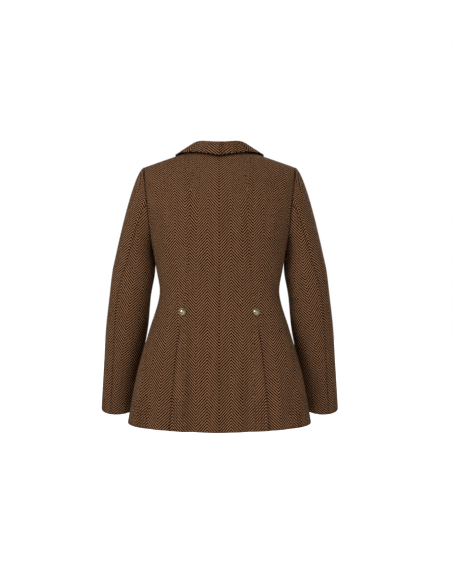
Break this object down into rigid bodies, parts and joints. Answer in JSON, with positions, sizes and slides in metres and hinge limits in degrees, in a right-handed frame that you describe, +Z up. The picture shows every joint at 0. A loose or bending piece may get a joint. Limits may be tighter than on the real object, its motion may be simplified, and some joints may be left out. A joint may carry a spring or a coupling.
{
  "type": "riding jacket",
  "caption": "Fitted tweed riding jacket in its worn, hollow form: panelled flared back with closed vents and waist buttons, notched collar and lapels, buttoned front, two-piece sleeves.",
  "frame": {"origin": "middle of the neck at the height of the nape, inside the collar, where the wearer carries the jacket", "axes": "+Z up along the wearer; -Y the way the wearer faces; +X to the wearer's left"},
  "size_m": [0.622, 0.2732, 0.7213],
  "materials": {
    "tweed": "brown herringbone wool tweed, matt with a soft nap",
    "button_brass": "aged brass, satin"
  },
  "bodies": {
    "root": {"back_middle_left": "tweed", "back_middle_right": "tweed", "back_side_left": "tweed", "back_side_right": "tweed", "sleeve_upper_left": "tweed", "sleeve_upper_right": "tweed", "sleeve_under_left": "tweed", "sleeve_under_right": "tweed", "front_left": "tweed", "front_right": "tweed", "lapel_left": "tweed", "lapel_right": "tweed", "collar": "tweed", "button_back_left": "button_brass", "button_back_right": "button_brass", "button_front_1": "button_brass", "button_front_2": "button_brass", "button_front_3": "button_brass"}
  },
  "joints": []
}
